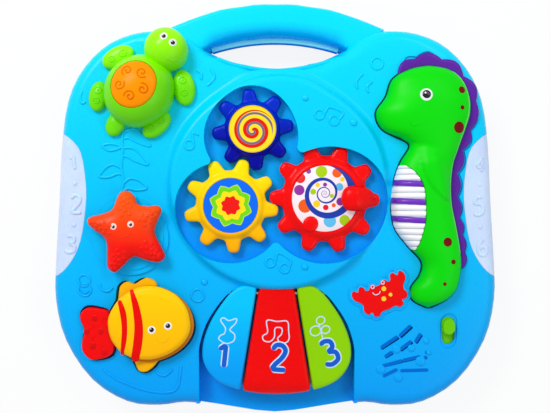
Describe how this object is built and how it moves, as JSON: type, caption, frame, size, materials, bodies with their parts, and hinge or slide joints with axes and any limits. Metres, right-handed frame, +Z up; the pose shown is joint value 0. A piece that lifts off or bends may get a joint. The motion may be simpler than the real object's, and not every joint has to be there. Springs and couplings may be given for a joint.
{
  "type": "musical activity table",
  "caption": "Toy activity table top with meshing gears, crank knob, music keys, turtle and fish push buttons, starfish spinner, seahorse relief, light panels and a carrying handle.",
  "frame": {"origin": "middle of the whole part at the lower faces of its rubber feet", "axes": "+Z up out of the playing face, +Y towards the carrying handle, +X to the right as seen with the handle away from the viewer"},
  "size_m": [0.3806, 0.352, 0.0748],
  "materials": {
    "top_shell": "glossy moulded",
    "bottom_shell": "glossy moulded",
    "left_light_panel": "translucent milky",
    "right_light_panel": "translucent milky",
    "red_gear": "glossy moulded",
    "yellow_gear": "glossy moulded",
    "blue_gear": "glossy moulded",
    "red_gear_label": "printed foil",
    "yellow_gear_label": "printed foil",
    "blue_gear_label": "printed foil",
    "gear_screws": "satin",
    "turtle_body": "glossy moulded",
    "turtle_shell": "glossy moulded",
    "turtle_spring": "satin",
    "starfish": "glossy moulded, orange to red",
    "star_washer": "satin",
    "fish_body": "glossy moulded",
    "fish_fins": "glossy moulded",
    "fish_tail": "glossy moulded",
    "fish_washer": "satin",
    "fish_spring": "satin",
    "seahorse_body": "glossy moulded",
    "seahorse_belly": "glossy moulded",
    "seahorse_fin": "glossy moulded",
    "blue_key": "glossy moulded",
    "red_key": "glossy moulded",
    "green_key": "glossy moulded",
    "key_pivot_rod": "satin",
    "blue_key_spring": "satin",
    "red_key_spring": "satin",
    "green_key_spring": "satin",
    "key_contact_pads": "matt",
    "key_board": "solder mask",
    "crab_badge": "printed foil",
    "speaker": "matt",
    "speaker_screws": "satin",
    "power_slider": "glossy moulded",
    "switch_housing": "matt",
    "circuit_board": "solder mask",
    "board_chips": "matt",
    "left_light_board": "solder mask",
    "right_light_board": "solder mask",
    "lamps": "clear epoxy",
    "battery_box": "matt",
    "batteries": "foil sleeve",
    "battery_contacts": "bright",
    "battery_door": "glossy moulded",
    "battery_door_screw": "satin",
    "rear_left_leg_socket": "glossy moulded",
    "rear_right_leg_socket": "glossy moulded",
    "front_left_leg_socket": "glossy moulded",
    "front_right_leg_socket": "glossy moulded",
    "rubber_feet": "matt",
    "case_screws": "satin"
  },
  "bodies": {
    "base": {"top_shell": "top_shell", "bottom_shell": "bottom_shell", "left_light_panel": "left_light_panel", "right_light_panel": "right_light_panel", "gear_screws": "gear_screws", "turtle_body": "turtle_body", "turtle_spring": "turtle_spring", "fish_spring": "fish_spring", "seahorse_body": "seahorse_body", "seahorse_belly": "seahorse_belly", "seahorse_fin": "seahorse_fin", "key_pivot_rod": "key_pivot_rod", "blue_key_spring": "blue_key_spring", "red_key_spring": "red_key_spring", "green_key_spring": "green_key_spring", "key_contact_pads": "key_contact_pads", "key_board": "key_board", "crab_badge": "crab_badge", "speaker": "speaker", "speaker_screws": "speaker_screws", "switch_housing": "switch_housing", "circuit_board": "circuit_board", "board_chips": "board_chips", "left_light_board": "left_light_board", "right_light_board": "right_light_board", "lamps": "lamps", "battery_box": "battery_box", "batteries": "batteries", "battery_contacts": "battery_contacts", "battery_door": "battery_door", "battery_door_screw": "battery_door_screw", "rear_left_leg_socket": "rear_left_leg_socket", "rear_right_leg_socket": "rear_right_leg_socket", "front_left_leg_socket": "front_left_leg_socket", "front_right_leg_socket": "front_right_leg_socket", "rubber_feet": "rubber_feet", "case_screws": "case_screws"},
    "red_wheel": {"red_gear": "red_gear", "red_gear_label": "red_gear_label"},
    "yellow_wheel": {"yellow_gear": "yellow_gear", "yellow_gear_label": "yellow_gear_label"},
    "blue_wheel": {"blue_gear": "blue_gear", "blue_gear_label": "blue_gear_label"},
    "turtle_button": {"turtle_shell": "turtle_shell"},
    "star_spinner": {"starfish": "starfish", "star_washer": "star_washer"},
    "fish_button": {"fish_body": "fish_body", "fish_fins": "fish_fins", "fish_tail": "fish_tail", "fish_washer": "fish_washer"},
    "left_key": {"blue_key": "blue_key"},
    "middle_key": {"red_key": "red_key"},
    "right_key": {"green_key": "green_key"},
    "switch_knob": {"power_slider": "power_slider"}
  },
  "joints": [
    {"name": "red_spin", "type": "hinge", "parent": "base", "child": "red_wheel", "pos_m": [0.0414, 0.0075, 0.045], "axis": [0, 0, 1], "continuous": true},
    {"name": "yellow_spin", "type": "hinge", "parent": "base", "child": "yellow_wheel", "pos_m": [-0.0367, 0.0017, 0.045], "axis": [0, 0, 1], "continuous": true},
    {"name": "blue_spin", "type": "hinge", "parent": "base", "child": "blue_wheel", "pos_m": [-0.0186, 0.0652, 0.045], "axis": [0, 0, 1], "continuous": true},
    {"name": "star_spin", "type": "hinge", "parent": "base", "child": "star_spinner", "pos_m": [-0.1195, -0.0215, 0.05], "axis": [0, 0, 1], "continuous": true},
    {"name": "turtle_press", "type": "slide", "parent": "base", "child": "turtle_button", "axis": [0, 0, -1], "range_m": [0, 0.002], "stiffness_N_per_m": 300, "springref_m": -0.01, "deforming": ["turtle_spring"]},
    {"name": "fish_press", "type": "slide", "parent": "base", "child": "fish_button", "axis": [0, 0, -1], "range_m": [0, 0.003], "stiffness_N_per_m": 300, "springref_m": -0.01, "deforming": ["fish_spring"]},
    {"name": "left_key_press", "type": "hinge", "parent": "base", "child": "left_key", "pos_m": [0.0014, -0.072, 0.039], "axis": [1, 0, 0], "range_deg": [0, 2.5], "stiffness_Nm_per_rad": 0.6, "springref_deg": -5.73, "deforming": ["blue_key_spring"]},
    {"name": "middle_key_press", "type": "hinge", "parent": "base", "child": "middle_key", "pos_m": [0.0014, -0.072, 0.039], "axis": [1, 0, 0], "range_deg": [0, 2.5], "stiffness_Nm_per_rad": 0.6, "springref_deg": -5.73, "deforming": ["red_key_spring"]},
    {"name": "right_key_press", "type": "hinge", "parent": "base", "child": "right_key", "pos_m": [0.0014, -0.072, 0.039], "axis": [1, 0, 0], "range_deg": [0, 2.5], "stiffness_Nm_per_rad": 0.6, "springref_deg": -5.73, "deforming": ["green_key_spring"]},
    {"name": "power_slide", "type": "slide", "parent": "base", "child": "switch_knob", "axis": [0, -1, 0], "range_m": [0, 0.0076]}
  ],
  "couplings": [
    {"joint": "yellow_spin", "follows": "red_spin", "ratio": -1.1111},
    {"joint": "blue_spin", "follows": "red_spin", "ratio": 1.25}
  ]
}
